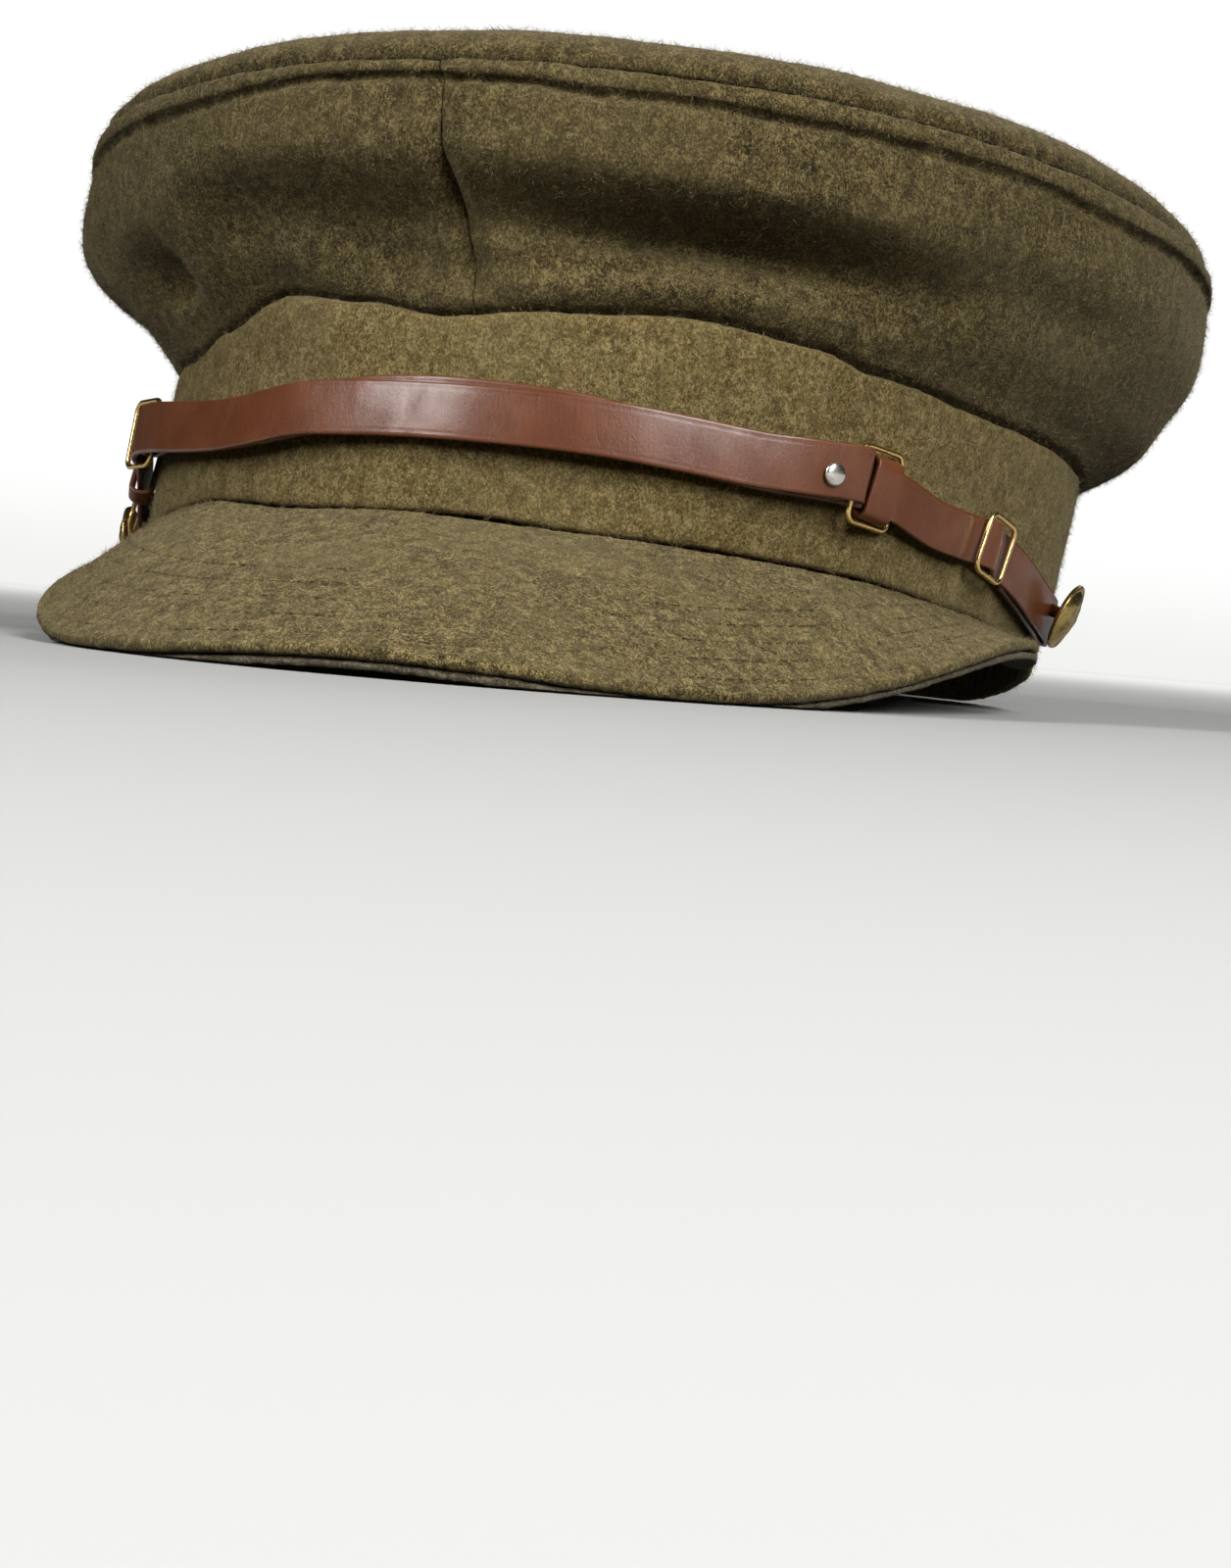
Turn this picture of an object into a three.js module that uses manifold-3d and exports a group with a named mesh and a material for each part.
// Soft officer's trench cap in wool cloth: peaked, with a leather chin strap across the band.
// Millimetres, +Z up, the peak towards -Y, the wearer's left towards +X.
// The cap is shaped in its own frame, with the band's hem at height 0 and the front at angle 0,
// and is then set down on the peak's edge and the rear of the hem.
import * as THREE from 'three';
import Module from 'manifold-3d';

const wasm = await Module();
wasm.setup();
const { Manifold, Mesh: SolidMesh } = wasm;

const GAP = 0.3;
const BAND_WALL = 2.6;
const CROWN_WALL = 2.0;
const SWEATBAND_WALL = 1.2;
const SWEATBAND_LOW = 10;
const SWEATBAND_HIGH = 28;
const STRAP_THICK = 1.2;
const WIRE = 1.0;

// Plan ellipses: half width, half length, and the shift of the centre.
const HEM = { wide: 87.2, long: 103.3, x: -3.4, y: 0 };
const BAND_TOP = { wide: 88.2, long: 107.0, x: 1.5, y: 0.2, high: 38 };
const CROWN_RIM = { wide: 108.8, front: 128.6, rear: 124, x: 0, y: 8.8, high: 78.3 };
const DOME_RISE = 12;
const PEAK_EDGE = { wide: 91.8, long: 139.6, x: -2.8, y: -18.1, front: -27.4, side: -7.4, corner: -2.5 };
const PEAK_PINCH = 0.6;
const PEAK_DIP = { share: -0.7, wide: 0.36, down: 2.4, out: 1.6 };
const PEAK_ANGLE = 79.6;
const PEAK_EDGE_ANGLE = 88.5;
const PEAK_UNDER_THICK = 1.3;
const PEAK_TOP_THICK = 2.1;

// How it stands: the hem tips up at the front, and the rear of the hem is pressed flat.
const REST_TILT = 6.4;
const REST_SINK = 1.2;

// Height of the band's top edge, round the cap.
const BAND_EDGE = [
  { angle: -180, high: 36.4 },
  { angle: -110, high: 36.0 },
  { angle: -70, high: 35.2 },
  { angle: -50, high: 35.0 },
  { angle: -42, high: 37.6 },
  { angle: -30, high: 42.0 },
  { angle: -18, high: 39.9 },
  { angle: -8, high: 37.6 },
  { angle: 5, high: 39.2 },
  { angle: 20, high: 40.8 },
  { angle: 34, high: 39.4 },
  { angle: 41, high: 37.4 },
  { angle: 60, high: 35.6 },
  { angle: 80, high: 36.0 },
  { angle: 180, high: 36.4 },
];

// Height of the band's lower edge: the seam with the peak at the front, the hem elsewhere.
const BAND_HEM = [
  { angle: -180, high: 0 },
  { angle: -152, high: -2.2 },
  { angle: -124, high: -3.6 },
  { angle: -98, high: -2 },
  { angle: -80, high: 0 },
  { angle: -64, high: 3.6 },
  { angle: -50, high: 6.4 },
  { angle: -38, high: 7.1 },
  { angle: -21, high: 5.1 },
  { angle: -8, high: 5.1 },
  { angle: 15, high: 3.8 },
  { angle: 43, high: 3.5 },
  { angle: 63, high: 2.2 },
  { angle: 80, high: 0 },
  { angle: 98, high: -2 },
  { angle: 124, high: -3.6 },
  { angle: 152, high: -2.2 },
  { angle: 180, high: 0 },
];

// Depth of the topstitched welt below the crown's rim.
const WELT = [
  { angle: -180, deep: 4.8 },
  { angle: -60, deep: 5.2 },
  { angle: -34, deep: 5.2 },
  { angle: -16, deep: 3.2 },
  { angle: 2, deep: 3.8 },
  { angle: 8, deep: 4.9 },
  { angle: 46, deep: 5.2 },
  { angle: 61, deep: 6.2 },
  { angle: 80, deep: 4.7 },
  { angle: 180, deep: 4.8 },
];

// The crown side between the band and the welt: share of the height, share of the overhang.
const CROWN_SIDE = [
  { rise: 0.0, lean: 0.0 },
  { rise: 0.08, lean: 0.14 },
  { rise: 0.18, lean: 0.33 },
  { rise: 0.29, lean: 0.52 },
  { rise: 0.4, lean: 0.72 },
  { rise: 0.52, lean: 0.88 },
  { rise: 0.65, lean: 0.97 },
  { rise: 0.82, lean: 1.0 },
  { rise: 1.0, lean: 1.0 },
];

// Hollows (negative) and folds (positive) of the crown side.
const CROWN_FOLDS = [
  { angle: 24, wide: 30, rise: 0.36, tall: 0.26, out: -8.5 },
  { angle: 58, wide: 22, rise: 0.48, tall: 0.26, out: -3.5 },
  { angle: -24, wide: 22, rise: 0.4, tall: 0.3, out: -4.5 },
  { angle: -47, wide: 8, rise: 0.3, tall: 0.22, out: -4.5 },
  { angle: -58, wide: 7, rise: 0.3, tall: 0.4, out: 2.6 },
  { angle: 18, wide: 34, rise: 0.12, tall: 0.12, out: 1.6 },
  { angle: -90, wide: 44, rise: 0.66, tall: 0.34, out: 2.8 },
  { angle: -100, wide: 50, rise: 0.28, tall: 0.34, out: -6 },
  { angle: 106, wide: 46, rise: 0.2, tall: 0.28, out: 4 },
];

// Seams of the crown side, at the band and at the rim.
const SEAMS = {
  front: { foot: -4, head: -6 },
  left: { foot: 96, head: 100 },
  rear: { foot: 180, head: 180 },
  right: { foot: -96, head: -100 },
};

// Centre line of the outer strap, from the right button across the front to its folded end.
const STRAP_OUTER_WIDE = 9.4;
const STRAP_OUTER = [
  { angle: -77.5, high: 10.0, out: 1.0 },
  { angle: -82, high: 7.6, out: 1.0 },
  { angle: -86, high: 6.4, out: 1.0 },
  { angle: -87.2, high: 6.2, out: 1.75 },
  { angle: -86, high: 6.4, out: 2.5 },
  { angle: -82, high: 7.6, out: 2.5 },
  { angle: -78, high: 9.8, out: 2.5 },
  { angle: -74, high: 13.6, out: 2.55 },
  { angle: -70, high: 18.0, out: 2.8 },
  { angle: -66.4, high: 21.0, out: 3.4 },
  { angle: -63.4, high: 21.9, out: 4.3 },
  { angle: -60, high: 22.2, out: 5.25 },
  { angle: -55.5, high: 22.0, out: 5.3 },
  { angle: -50.5, high: 21.3, out: 4.7 },
  { angle: -42, high: 20.0, out: 3.4 },
  { angle: -35, high: 19.4, out: 3.2 },
  { angle: -29, high: 19.8, out: 3.6 },
  { angle: -22, high: 21.1, out: 3.7 },
  { angle: -15, high: 21.3, out: 3.1 },
  { angle: -8, high: 21.3, out: 2.6 },
  { angle: 0, high: 21.0, out: 3.0 },
  { angle: 12, high: 20.5, out: 3.3 },
  { angle: 22, high: 19.7, out: 2.9 },
  { angle: 29, high: 19.1, out: 3.4 },
  { angle: 33.6, high: 19.2, out: 4.4 },
  { angle: 36.8, high: 19.4, out: 4.8 },
  { angle: 39.4, high: 19.6, out: 5.2 },
  { angle: 40.7, high: 19.6, out: 4.95 },
  { angle: 41.2, high: 19.6, out: 3.95 },
  { angle: 40.7, high: 19.6, out: 2.95 },
  { angle: 39.4, high: 19.6, out: 2.7 },
  { angle: 37, high: 19.4, out: 2.6 },
  { angle: 33.6, high: 19.3, out: 2.5 },
];

// Centre line of the inner strap, from the left button across the front to its folded end.
const STRAP_INNER_WIDE = 8.4;
const STRAP_INNER = [
  { angle: 68.5, high: 11.9, out: 1.0 },
  { angle: 72, high: 10.4, out: 1.0 },
  { angle: 77, high: 8.5, out: 1.0 },
  { angle: 82, high: 7.2, out: 1.0 },
  { angle: 86, high: 6.4, out: 1.0 },
  { angle: 87.2, high: 6.2, out: 1.75 },
  { angle: 86, high: 6.4, out: 2.5 },
  { angle: 82, high: 7.2, out: 2.5 },
  { angle: 77, high: 8.5, out: 2.5 },
  { angle: 72, high: 10.4, out: 2.5 },
  { angle: 68, high: 12.3, out: 2.0 },
  { angle: 65.6, high: 13.4, out: 1.5 },
  { angle: 63, high: 14.2, out: 3.2 },
  { angle: 60.4, high: 14.6, out: 1.5 },
  { angle: 57, high: 14.5, out: 2.4 },
  { angle: 53, high: 15.0, out: 2.1 },
  { angle: 49.5, high: 16.2, out: 2.5 },
  { angle: 46.6, high: 17.4, out: 2.8 },
  { angle: 43.7, high: 18.2, out: 2.65 },
  { angle: 42.2, high: 18.5, out: 2.35 },
  { angle: 40.6, high: 18.7, out: 1.3 },
  { angle: 39, high: 18.8, out: 1.0 },
  { angle: 30, high: 18.6, out: 0.95 },
  { angle: 20, high: 20.0, out: 0.95 },
  { angle: 10, high: 22.0, out: 0.95 },
  { angle: 0, high: 22.9, out: 0.95 },
  { angle: -8, high: 23.2, out: 0.95 },
  { angle: -15, high: 22.8, out: 0.95 },
  { angle: -24, high: 20.8, out: 0.95 },
  { angle: -35, high: 19.6, out: 0.95 },
  { angle: -48, high: 21.2, out: 0.95 },
  { angle: -55.5, high: 22.0, out: 0.95 },
  { angle: -58.1, high: 22.1, out: 1.3 },
  { angle: -58.9, high: 22.1, out: 2.55 },
  { angle: -58.1, high: 22.1, out: 3.75 },
  { angle: -55.5, high: 22.0, out: 3.7 },
  { angle: -52, high: 21.7, out: 3.2 },
];

// Wire slides: middle, size along and across the strap, slant, and how far each end stands off.
const SLIDES = [
  {
    name: 'slide_left_upper', angle: 43.3, high: 18.7, long: 11.4, tall: 13.2, slant: -3,
    first: 3.95, last: 1.15,
  },
  {
    name: 'slide_left_lower', angle: 63, high: 14.3, long: 9.6, tall: 10.6, slant: -10,
    first: 3.4, last: 3.4,
  },
  {
    name: 'slide_right_upper', angle: -60.6, high: 22.2, long: 9.8, tall: 12.4, slant: 0,
    first: 5.9, last: 2.55,
  },
  {
    name: 'slide_right_lower', angle: -75.5, high: 12.0, long: 6.4, tall: 11.4, slant: 30,
    first: 4.1, last: 4.2,
  },
];

const KEEPER_WALL = 0.9;
const KEEPERS = [
  { name: 'keeper_left', angle: 43.9, high: 18.4, long: 4.4, tall: 9.6, slant: -7, low: 1.5, deep: 2.3 },
  { name: 'keeper_right', angle: -70.4, high: 17.6, long: 3.6, tall: 11.4, slant: 32, low: 1.3, deep: 2.7 },
];

const BUTTON = { wide: 14.2, dome: 2.6, thick: 1.2, shank: 2.4, hole: 4.4, droop: 14, out: 5.2 };
const BUTTONS = [
  { name: 'button_left', angle: 82, high: 7.0 },
  { name: 'button_right', angle: -82, high: 7.4 },
];
const RIVET = { angle: 36.8, high: 19.4, wide: 4.0, dome: 0.8, stem: 1.6, hole: 2.2 };

const rad = THREE.MathUtils.degToRad;
const lerp = THREE.MathUtils.lerp;
const vec = (x, y, z) => new THREE.Vector3(x, y, z);

// Smooth value from a table at an angle, level at every row.
function fromTable(table, angle, column) {
  for (let i = 1; i < table.length; i += 1) {
    const low = table[i - 1];
    const high = table[i];
    if (angle <= high.angle) {
      const share = THREE.MathUtils.smoothstep(angle, low.angle, high.angle);
      return lerp(low[column], high[column], share);
    }
  }
  return table[table.length - 1][column];
}

function wrapAngle(angle) {
  return THREE.MathUtils.euclideanModulo(angle + 180, 360) - 180;
}

// A point on the band's outer face, moved outwards square to it.
function onBand(angle, high, out) {
  const share = high / BAND_TOP.high;
  const wide = lerp(HEM.wide, BAND_TOP.wide, share);
  const long = lerp(HEM.long, BAND_TOP.long, share);
  const s = Math.sin(rad(angle));
  const c = Math.cos(rad(angle));
  const square = vec(s / wide, -c / long, 0).normalize();
  return vec(
    lerp(HEM.x, BAND_TOP.x, share) + wide * s + square.x * out,
    lerp(HEM.y, BAND_TOP.y, share) - long * c + square.y * out,
    high,
  );
}

function bandEdge(angle) {
  return fromTable(BAND_EDGE, wrapAngle(angle), 'high');
}

function hemHeight(angle) {
  return fromTable(BAND_HEM, wrapAngle(angle), 'high');
}

function onRim(angle, out, drop) {
  const s = Math.sin(rad(angle));
  const c = Math.cos(rad(angle));
  const long = c > 0 ? CROWN_RIM.front : CROWN_RIM.rear;
  return vec(
    CROWN_RIM.x + (CROWN_RIM.wide + out) * s,
    CROWN_RIM.y - (long + out) * c,
    CROWN_RIM.high - 1.1 * c - drop,
  );
}

function bump(distance) {
  const d = Math.abs(distance);
  return d < 1 ? (1 + Math.cos(Math.PI * d)) / 2 : 0;
}

// One upright section of the crown side, from its edge tucked inside the band up to the rim.
function crownSection(angle) {
  const edge = bandEdge(angle);
  const turn = wrapAngle(angle);
  const foot = onBand(angle, edge + 1.7, -0.2);
  const deep = fromTable(WELT, turn, 'deep');
  const head = onRim(angle, 1.2, deep);
  const outward = vec(head.x - foot.x, head.y - foot.y, 0).normalize();
  const points = [
    onBand(angle, edge - 6, -BAND_WALL - GAP),
    onBand(angle, edge + 0.3, -BAND_WALL - GAP),
  ];
  for (const row of CROWN_SIDE) {
    const p = vec(
      lerp(foot.x, head.x, row.lean),
      lerp(foot.y, head.y, row.lean),
      lerp(foot.z, head.z, row.rise),
    );
    for (const fold of CROWN_FOLDS) {
      const near = bump((turn - fold.angle) / fold.wide) * bump((row.rise - fold.rise) / fold.tall);
      p.addScaledVector(outward, fold.out * near);
    }
    points.push(p);
  }
  points.push(onRim(angle, 1.9, deep * 0.72));
  points.push(onRim(angle, 1.3, deep * 0.24));
  points.push(onRim(angle, 0.4, GAP / 2));
  return points;
}

// Square outward direction of a curved face at one point of a section.
function squareTo(sectionAt, angle, index) {
  const here = sectionAt(angle);
  const along = sectionAt(angle + 0.6)[index].clone().sub(sectionAt(angle - 0.6)[index]);
  const low = here[Math.max(index - 1, 0)];
  const high = here[Math.min(index + 1, here.length - 1)];
  return along.cross(high.clone().sub(low)).normalize();
}

// A closed wall between an outer and an inner grid of points; "round" joins its two ends.
function wall(outer, inner, round) {
  const points = [];
  const known = new Map();
  const faces = [];
  const id = (p) => {
    const key = p.toArray().map((value) => Math.round(value * 1000)).join(' ');
    if (!known.has(key)) {
      known.set(key, points.length / 3);
      points.push(p.x, p.y, p.z);
    }
    return known.get(key);
  };
  const triangle = (a, b, c) => {
    const [i, j, k] = [id(a), id(b), id(c)];
    if (i !== j && j !== k && k !== i) {
      faces.push(i, j, k);
    }
  };
  const quad = (a, b, c, d) => {
    triangle(a, b, c);
    triangle(a, c, d);
  };
  const columns = outer.length;
  const rows = outer[0].length;
  for (let u = 0; u < (round ? columns : columns - 1); u += 1) {
    const w = (u + 1) % columns;
    for (let v = 0; v < rows - 1; v += 1) {
      quad(outer[u][v], outer[w][v], outer[w][v + 1], outer[u][v + 1]);
      quad(inner[u][v], inner[u][v + 1], inner[w][v + 1], inner[w][v]);
    }
    quad(inner[u][0], inner[w][0], outer[w][0], outer[u][0]);
    quad(outer[u][rows - 1], outer[w][rows - 1], inner[w][rows - 1], inner[u][rows - 1]);
  }
  if (!round) {
    for (let v = 0; v < rows - 1; v += 1) {
      const end = columns - 1;
      quad(inner[0][v], outer[0][v], outer[0][v + 1], inner[0][v + 1]);
      quad(outer[end][v], inner[end][v], inner[end][v + 1], outer[end][v + 1]);
    }
  }
  return facingOut(points, faces);
}

function facingOut(points, faces) {
  const geometry = new THREE.BufferGeometry();
  geometry.setAttribute('position', new THREE.Float32BufferAttribute(points, 3));
  let volume = 0;
  const corner = (i) => vec(points[3 * i], points[3 * i + 1], points[3 * i + 2]);
  for (let i = 0; i < faces.length; i += 3) {
    volume += corner(faces[i]).dot(corner(faces[i + 1]).cross(corner(faces[i + 2])));
  }
  if (volume < 0) {
    for (let i = 0; i < faces.length; i += 3) {
      [faces[i + 1], faces[i + 2]] = [faces[i + 2], faces[i + 1]];
    }
  }
  geometry.setIndex(faces);
  return geometry;
}

function toSolid(geometry) {
  return new Manifold(new SolidMesh({
    numProp: 3,
    vertProperties: new Float32Array(geometry.getAttribute('position').array),
    triVerts: new Uint32Array(geometry.index.array),
  }));
}

function cut(geometry, tools) {
  let solid = toSolid(geometry);
  for (const tool of tools) {
    solid = solid.subtract(toSolid(tool));
  }
  const mesh = solid.getMesh();
  return facingOut(Array.from(mesh.vertProperties), Array.from(mesh.triVerts));
}

function angles(from, to, count) {
  return Array.from({ length: count + 1 }, (unused, i) => lerp(from, to, i / count));
}

function makeBand() {
  const rows = [0, 0.12, 0.5, 0.88, 1];
  const belly = [-0.5, -0.1, 0, -0.1, -0.5];
  const turns = angles(-180, 174.375, 63);
  const section = (angle, out, swell) => rows.map((share, i) => {
    const high = lerp(hemHeight(angle), bandEdge(angle), share);
    return onBand(angle, high, out + belly[i] * swell);
  });
  return wall(
    turns.map((angle) => section(angle, 0, 1)),
    turns.map((angle) => section(angle, -BAND_WALL, 0)),
    true,
  );
}

function makeSweatband() {
  const turns = angles(-180, 173.57, 55);
  const section = (angle, out) => [
    onBand(angle, SWEATBAND_LOW, out),
    onBand(angle, SWEATBAND_HIGH, out),
  ];
  const out = -BAND_WALL - GAP;
  return wall(
    turns.map((angle) => section(angle, out)),
    turns.map((angle) => section(angle, out - SWEATBAND_WALL)),
    true,
  );
}

// A quarter of the crown side between two seams, each seam leaning from its foot to its head.
function makeQuarter(from, to, count) {
  const top = crownSection(0).length - 1;
  const outer = [];
  const inner = [];
  for (let u = 0; u <= count; u += 1) {
    const share = u / count;
    const outside = [];
    const inside = [];
    for (let v = 0; v <= top; v += 1) {
      const up = Math.max(v - 1, 0) / (top - 1);
      const start = lerp(from.foot, from.head, up);
      const end = lerp(to.foot, to.head, up);
      const half = (GAP / 2) / 1.9;
      const angle = lerp(start + half, end - half, share);
      const p = crownSection(angle)[v];
      const square = squareTo(crownSection, angle, v);
      outside.push(p);
      inside.push(p.clone().addScaledVector(square, -CROWN_WALL));
    }
    outer.push(outside);
    inner.push(inside);
  }
  return wall(outer, inner, false);
}

// One section of the crown's top, from the rim to the middle.
function topSection(angle) {
  const shares = [1, 0.994, 0.975, 0.93, 0.83, 0.62, 0.32, 0];
  const rim = onRim(angle, 0.4, -GAP / 2);
  return shares.map((share) => vec(
    lerp(CROWN_RIM.x, rim.x, share),
    lerp(CROWN_RIM.y, rim.y, share),
    lerp(CROWN_RIM.high, rim.z, share) + DOME_RISE * Math.sqrt(1 - share ** 6),
  ));
}

function makeTop() {
  const turns = angles(-180, 171.43, 41);
  const outer = turns.map(topSection);
  const inner = turns.map((angle) => topSection(angle).map((p, v) => {
    if (v === 7) {
      return p.clone().setZ(p.z - CROWN_WALL);
    }
    return p.clone().addScaledVector(squareTo(topSection, angle, v), -CROWN_WALL);
  }));
  return wall(outer, inner, true);
}

// One section of the peak's top face, from under the band out to its edge.
function peakSection(share) {
  const angle = share * PEAK_ANGLE;
  const turn = rad(share * PEAK_EDGE_ANGLE);
  const side = Math.abs(Math.sin(turn) / Math.sin(rad(PEAK_EDGE_ANGLE)));
  const thick = PEAK_UNDER_THICK + PEAK_TOP_THICK + GAP;
  const low = PEAK_EDGE.front + PEAK_EDGE.side * side ** 2
    + (PEAK_EDGE.corner - PEAK_EDGE.front - PEAK_EDGE.side) * side ** 4.4;
  const dip = bump((share - PEAK_DIP.share) / PEAK_DIP.wide);
  const edge = vec(
    PEAK_EDGE.x + (PEAK_EDGE.wide + PEAK_DIP.out * dip) * Math.sin(turn),
    PEAK_EDGE.y - PEAK_EDGE.long * Math.cos(turn),
    low + thick * 0.85 - PEAK_DIP.down * dip,
  );
  const seam = hemHeight(angle) - GAP;
  const root = onBand(angle, seam, 0.4);
  root.z = seam - 0.25;
  edge.lerp(root, PEAK_PINCH * Math.abs(share) ** 20);
  const inside = onBand(angle, seam, -BAND_WALL + 0.4);
  inside.z = seam;
  const points = [inside, root];
  for (const out of [0.3, 0.62, 0.88, 1]) {
    const p = root.clone().lerp(edge, out);
    p.z += 6 * (1 - side ** 4) * out * (1 - out);
    points.push(p);
  }
  return points;
}

function makePeak(high, thick) {
  const shares = angles(-1, 1, 36).map((share) => Math.sign(share) * Math.abs(share) ** 0.85);
  const face = (depth) => shares.map((share) => {
    const points = peakSection(share);
    return points.map((p, v) => {
      const low = points[Math.max(v - 1, 0)];
      const next = points[Math.min(v + 1, points.length - 1)];
      const along = next.clone().sub(low).normalize();
      const side = onBand(share * PEAK_ANGLE + 1, 0, 0).sub(onBand(share * PEAK_ANGLE - 1, 0, 0));
      const square = along.cross(side).normalize();
      return p.clone().addScaledVector(square, -depth);
    });
  });
  return wall(face(high), face(high + thick), false);
}

// A strap swept along a table of points on the band, its width lying along the band's face.
function makeStrap(table, wide, count) {
  const mmPerDegree = 1.8;
  const path = new THREE.CatmullRomCurve3(
    table.map((row) => vec(row.angle * mmPerDegree, row.high, row.out)),
    false,
    'centripetal',
  );
  const place = (flat) => onBand(flat.x / mmPerDegree, flat.y, flat.z);
  const outer = [];
  const inner = [];
  for (let i = 0; i <= count; i += 1) {
    const flat = path.getPoint(i / count);
    const middle = place(flat);
    const along = place(path.getPoint(Math.min(i / count + 0.001, 1)))
      .sub(place(path.getPoint(Math.max(i / count - 0.001, 0)))).normalize();
    const up = place(vec(flat.x, flat.y + 1, flat.z)).sub(middle);
    const across = up.addScaledVector(along, -up.dot(along)).normalize();
    const square = across.clone().cross(along);
    const corner = (w, t) => middle.clone()
      .addScaledVector(across, w * wide / 2)
      .addScaledVector(square, t * STRAP_THICK / 2);
    outer.push([corner(-1, 1), corner(1, 1)]);
    inner.push([corner(-1, -1), corner(1, -1)]);
  }
  return wall(outer, inner, false);
}

// Local directions on the band: along it, up it and out of it, turned by a slant.
function bandFrame(angle, high, slant) {
  const middle = onBand(angle, high, 0);
  const along = onBand(angle + 1, high, 0).sub(onBand(angle - 1, high, 0)).normalize();
  const up = onBand(angle, high + 1, 0).sub(middle).normalize();
  const out = along.clone().cross(up).normalize();
  const turn = rad(slant);
  const first = along.clone().multiplyScalar(Math.cos(turn)).addScaledVector(up, Math.sin(turn));
  const second = out.clone().cross(first).normalize();
  return { middle, along: first, up: second, out };
}

// A rounded rectangular ring of round wire.
function makeSlide(slide) {
  const frame = bandFrame(slide.angle, slide.high, slide.slant);
  const a = slide.long / 2;
  const b = slide.tall / 2;
  const r = 1.2;
  const corners = [
    [-a, -b + r], [-a, b - r], [-a + r, b], [a - r, b],
    [a, b - r], [a, -b + r], [a - r, -b], [-a + r, -b],
  ];
  const points = [];
  corners.forEach(([x, y], i) => {
    const [nx, ny] = corners[(i + 1) % corners.length];
    const steps = i % 2 === 0 ? 4 : 1;
    for (let k = 0; k < steps; k += 1) {
      const px = lerp(x, nx, k / steps);
      const py = lerp(y, ny, k / steps);
      const out = lerp(slide.first, slide.last, (px + a) / (2 * a));
      points.push(frame.middle.clone()
        .addScaledVector(frame.along, px)
        .addScaledVector(frame.up, py)
        .addScaledVector(frame.out, out - px * px / 230));
    }
  });
  const columns = points.length;
  const sides = 6;
  const outer = [];
  points.forEach((p, i) => {
    const before = points[(i + columns - 1) % columns];
    const after = points[(i + 1) % columns];
    const along = after.clone().sub(before).normalize();
    const side = frame.out.clone().cross(along).normalize();
    const ring = [];
    for (let k = 0; k < sides; k += 1) {
      const turn = 2 * Math.PI * k / sides;
      ring.push(p.clone()
        .addScaledVector(side, Math.cos(turn) * WIRE / 2)
        .addScaledVector(frame.out, Math.sin(turn) * WIRE / 2));
    }
    outer.push(ring);
  });
  return tube(outer, true);
}

// A solid skin over rings of points; "round" joins the last ring to the first.
function tube(rings, round) {
  const columns = rings.length;
  const sides = rings[0].length;
  const points = rings.flat().flatMap((p) => p.toArray());
  const faces = [];
  for (let u = 0; u < (round ? columns : columns - 1); u += 1) {
    const w = (u + 1) % columns;
    for (let k = 0; k < sides; k += 1) {
      const n = (k + 1) % sides;
      faces.push(u * sides + k, w * sides + k, w * sides + n);
      faces.push(u * sides + k, w * sides + n, u * sides + n);
    }
  }
  if (!round) {
    for (let k = 1; k < sides - 1; k += 1) {
      const end = (columns - 1) * sides;
      faces.push(0, k, k + 1);
      faces.push(end, end + k + 1, end + k);
    }
  }
  return facingOut(points, faces);
}

// A leather loop round the strap.
function makeKeeper(keeper) {
  const frame = bandFrame(keeper.angle, keeper.high, keeper.slant);
  const b = keeper.tall / 2;
  const low = keeper.low;
  const high = keeper.low + keeper.deep;
  const profile = [
    [-b + 0.8, low], [b - 0.8, low], [b, low + 0.8], [b, high - 0.8],
    [b - 0.8, high], [0, high + 0.3], [-b + 0.8, high], [-b, high - 0.8], [-b, low + 0.8],
  ];
  const at = (x, y, z) => frame.middle.clone()
    .addScaledVector(frame.along, x)
    .addScaledVector(frame.up, y)
    .addScaledVector(frame.out, z);
  const middle = (low + high) / 2;
  const half = keeper.long / 2;
  const swell = (y, z) => [
    y + Math.sign(y) * KEEPER_WALL,
    z + Math.sign(z - middle) * KEEPER_WALL,
  ];
  const outer = profile.map(([y, z]) => {
    const [wy, wz] = swell(y, z);
    return [at(-half, wy, wz), at(half, wy, wz)];
  });
  const inner = profile.map(([y, z]) => [at(-half, y, z), at(half, y, z)]);
  return wall(outer, inner, true);
}

function lathe(frame, profile, sides) {
  const rings = profile.map(([radius, out]) => {
    const ring = [];
    for (let k = 0; k < sides; k += 1) {
      const turn = 2 * Math.PI * k / sides;
      ring.push(frame.middle.clone()
        .addScaledVector(frame.out, out)
        .addScaledVector(frame.along, Math.cos(turn) * radius)
        .addScaledVector(frame.up, Math.sin(turn) * radius));
    }
    return ring;
  });
  return tube(rings, false);
}

function droopedFrame(angle, high, out, droop) {
  const frame = bandFrame(angle, high, 0);
  const middle = onBand(angle, high, out);
  const turned = frame.out.clone().multiplyScalar(Math.cos(rad(droop)))
    .addScaledVector(frame.up, -Math.sin(rad(droop)));
  const up = turned.clone().cross(frame.along).normalize();
  return { middle, along: frame.along, up, out: turned };
}

// A domed button with a rolled rim, its shank going in through the strap.
function makeButton(place) {
  const frame = droopedFrame(place.angle, place.high, BUTTON.out, BUTTON.droop);
  const r = BUTTON.wide / 2;
  const profile = [
    [BUTTON.shank / 2, 0.45 - BUTTON.out],
    [BUTTON.shank / 2, 0],
    [r - 1.0, 0],
    [r, 0.35],
    [r, BUTTON.thick - 0.2],
    [r - 0.5, BUTTON.thick + 0.1],
    [r - 1.1, BUTTON.thick - 0.1],
    [r * 0.62, BUTTON.thick + BUTTON.dome * 0.6],
    [r * 0.32, BUTTON.thick + BUTTON.dome * 0.9],
    [0.4, BUTTON.thick + BUTTON.dome],
  ];
  return lathe(frame, profile, 16);
}

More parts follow.
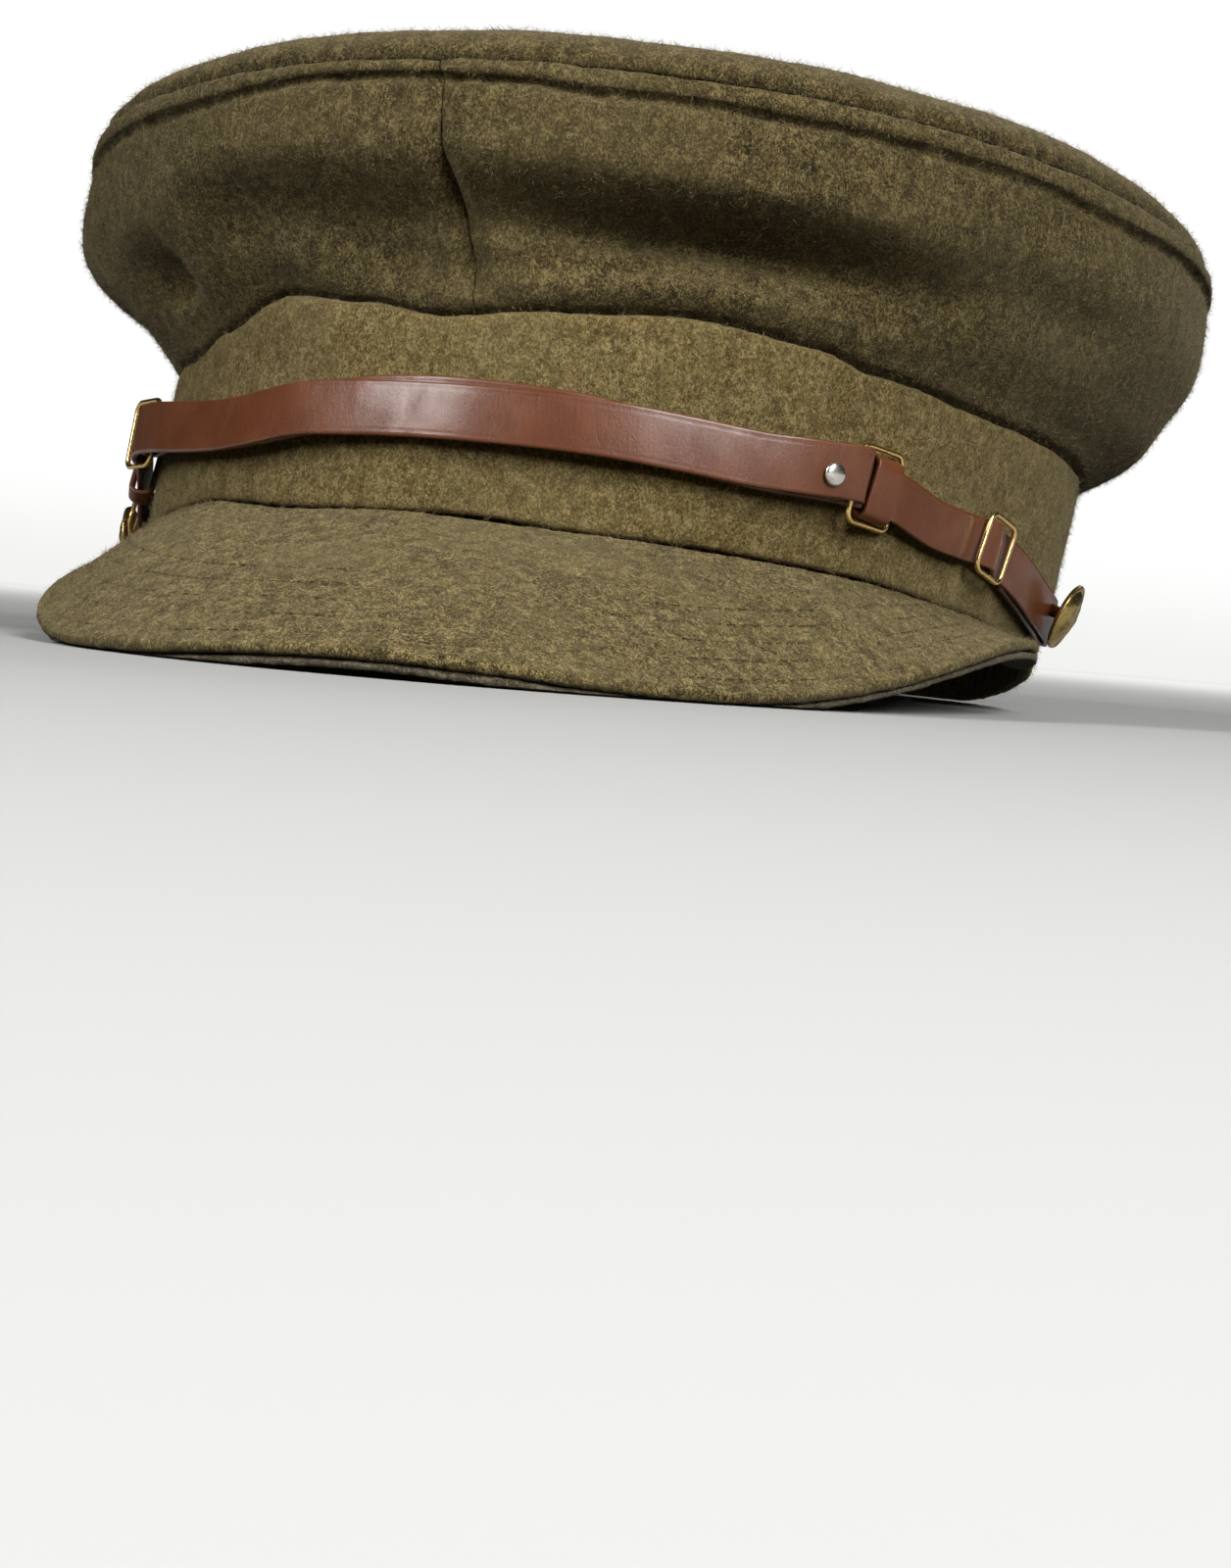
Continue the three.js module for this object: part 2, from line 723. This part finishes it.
function buttonHole(place) {
  const frame = droopedFrame(place.angle, place.high, BUTTON.out, BUTTON.droop);
  const r = BUTTON.hole / 2;
  return lathe(frame, [[r, -BUTTON.out - 0.8], [r, -1.2]], 14);
}

function makeRivet() {
  const frame = bandFrame(RIVET.angle, RIVET.high, 0);
  const seat = 5.8;
  const r = RIVET.wide / 2;
  const profile = [
    [RIVET.stem / 2, 2.1],
    [RIVET.stem / 2, seat],
    [r, seat],
    [r * 0.9, seat + RIVET.dome * 0.5],
    [r * 0.5, seat + RIVET.dome * 0.9],
    [0.3, seat + RIVET.dome],
  ];
  return lathe(frame, profile, 14);
}

function rivetHole() {
  const frame = bandFrame(RIVET.angle, RIVET.high, 0);
  return lathe(frame, [[RIVET.hole / 2, 1.8], [RIVET.hole / 2, 6.6]], 12);
}

// Sets the cap down: tips the front up about the rear of the hem and presses cloth to the floor.
function setDown(geometry, soft) {
  const places = geometry.getAttribute('position');
  const c = Math.cos(rad(REST_TILT));
  const s = Math.sin(rad(REST_TILT));
  for (let i = 0; i < places.count; i += 1) {
    const back = places.getY(i) - HEM.long;
    const high = places.getZ(i);
    const z = high * c - back * s - REST_SINK;
    places.setXYZ(i, places.getX(i), HEM.long + back * c + high * s, soft ? Math.max(z, 0) : z);
  }
}

const cap = new THREE.Group();
cap.name = 'trench_cap';

const CLOTH = { color: 0x6b5a3a, roughness: 0.95, metalness: 0 };
const LINING = { color: 0x4a4028, roughness: 0.8, metalness: 0 };
const UNDER = { color: 0x6e6450, roughness: 0.95, metalness: 0 };
const LEATHER = { color: 0x5e2c17, roughness: 0.4, metalness: 0 };
const BRASS = { color: 0xb08a3c, roughness: 0.3, metalness: 1 };
const NICKEL = { color: 0xc9c7bd, roughness: 0.25, metalness: 1 };

function add(name, geometry, look, soft) {
  setDown(geometry, soft);
  geometry.computeVertexNormals();
  const mesh = new THREE.Mesh(geometry, new THREE.MeshStandardMaterial(look));
  mesh.name = name;
  cap.add(mesh);
}

add('crown_top', makeTop(), CLOTH, false);
add('crown_front_left', makeQuarter(SEAMS.front, SEAMS.left, 16), CLOTH, false);
add('crown_rear_left', makeQuarter(SEAMS.left, SEAMS.rear, 10), CLOTH, false);
const rearStart = { foot: -180, head: -180 };
add('crown_rear_right', makeQuarter(rearStart, SEAMS.right, 10), CLOTH, false);
add('crown_front_right', makeQuarter(SEAMS.right, SEAMS.front, 16), CLOTH, false);
add('band', makeBand(), CLOTH, true);
add('sweatband', makeSweatband(), LINING, false);
add('peak_top', makePeak(0, PEAK_TOP_THICK), CLOTH, true);
add('peak_under', makePeak(PEAK_TOP_THICK + GAP, PEAK_UNDER_THICK), UNDER, true);

const outerStrap = makeStrap(STRAP_OUTER, STRAP_OUTER_WIDE, 92);
add('strap_outer', cut(outerStrap, [buttonHole(BUTTONS[1]), rivetHole()]), LEATHER, false);
const innerStrap = makeStrap(STRAP_INNER, STRAP_INNER_WIDE, 100);
add('strap_inner', cut(innerStrap, [buttonHole(BUTTONS[0])]), LEATHER, false);
for (const slide of SLIDES) {
  add(slide.name, makeSlide(slide), BRASS, false);
}
for (const keeper of KEEPERS) {
  add(keeper.name, makeKeeper(keeper), LEATHER, false);
}
for (const place of BUTTONS) {
  add(place.name, makeButton(place), BRASS, false);
}
add('rivet', makeRivet(), NICKEL, false);

// The frame's origin is under the middle of the whole cap.
const box = new THREE.Box3().setFromObject(cap);
const middle = box.getCenter(vec(0, 0, 0));
for (const piece of cap.children) {
  piece.geometry.translate(-middle.x, -middle.y, -box.min.z);
}

export default cap;
